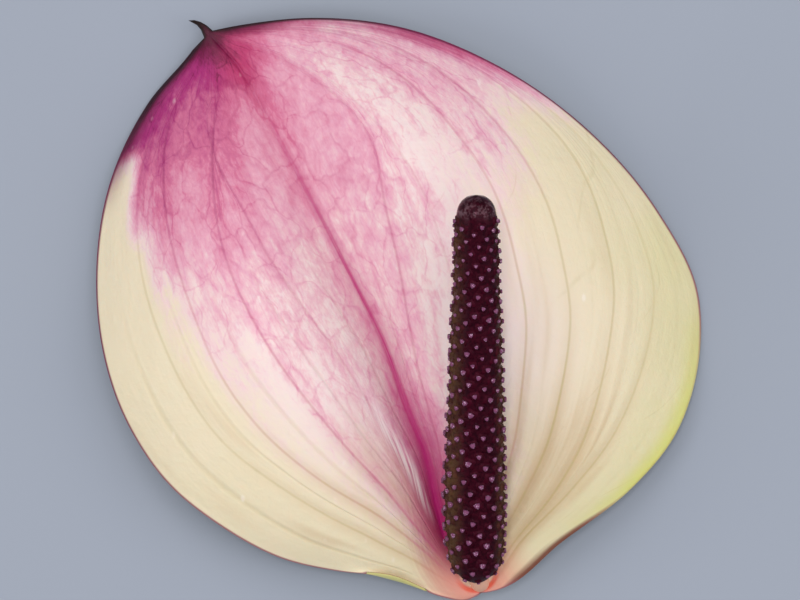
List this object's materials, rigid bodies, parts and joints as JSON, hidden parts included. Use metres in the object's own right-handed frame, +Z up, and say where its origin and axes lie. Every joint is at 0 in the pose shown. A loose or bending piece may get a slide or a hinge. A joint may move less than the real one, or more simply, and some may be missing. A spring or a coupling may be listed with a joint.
{
  "type": "anthurium flower",
  "caption": "Broad waxy heart-shaped spathe with a valley along its midrib, a tapered studded spadix standing out over it, and a short cut stalk; lies on its back.",
  "frame": {"origin": "middle of the flower's box in X and Y, at the surface that it lies on", "axes": "+X across the spathe to the viewer's right, +Y from the spathe's foot towards its tip, +Z up, out of the spathe's face"},
  "size_m": [0.1212, 0.116, 0.0461],
  "materials": {
    "spathe": "waxy cream to pale pink blade, flushed magenta towards the tip and along the midrib, with a thin dark rim",
    "spadix": "dark purple, softly glossy, studded with small lilac stigmas",
    "stalk": "satin yellow-green, with a paler moist cut end"
  },
  "bodies": {
    "root": {"spathe": "spathe", "spadix": "spadix", "stalk": "stalk"}
  },
  "joints": []
}
